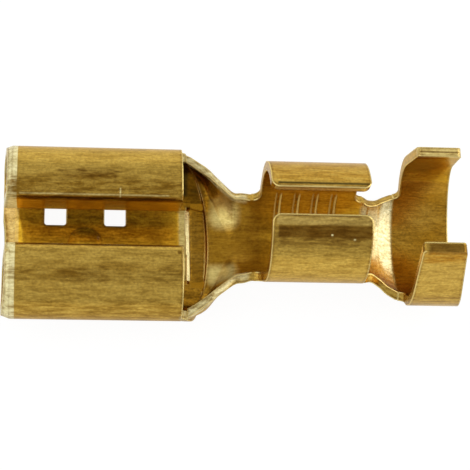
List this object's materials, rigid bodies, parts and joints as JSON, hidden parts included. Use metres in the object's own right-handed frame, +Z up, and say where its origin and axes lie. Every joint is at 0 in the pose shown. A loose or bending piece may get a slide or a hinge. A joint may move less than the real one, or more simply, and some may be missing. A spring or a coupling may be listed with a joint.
{
  "type": "female spade terminal",
  "caption": "Uninsulated push-on terminal folded from one brass sheet: rolled receptacle for a flat tab, open conductor barrel and open insulation barrel.",
  "frame": {"origin": "under the middle of the terminal's length, on its plane of symmetry, at the level of the insulation barrel's underside", "axes": "+X from the receptacle's mouth toward the wire end, +Y across the terminal, +Z up from the floor to the open side of the barrels"},
  "size_m": [0.0198, 0.0076, 0.0069],
  "materials": {
    "brass": "brushed, aged to a warm brown-gold, with paler worn edges"
  },
  "bodies": {
    "root": {"terminal": "brass"}
  },
  "joints": []
}
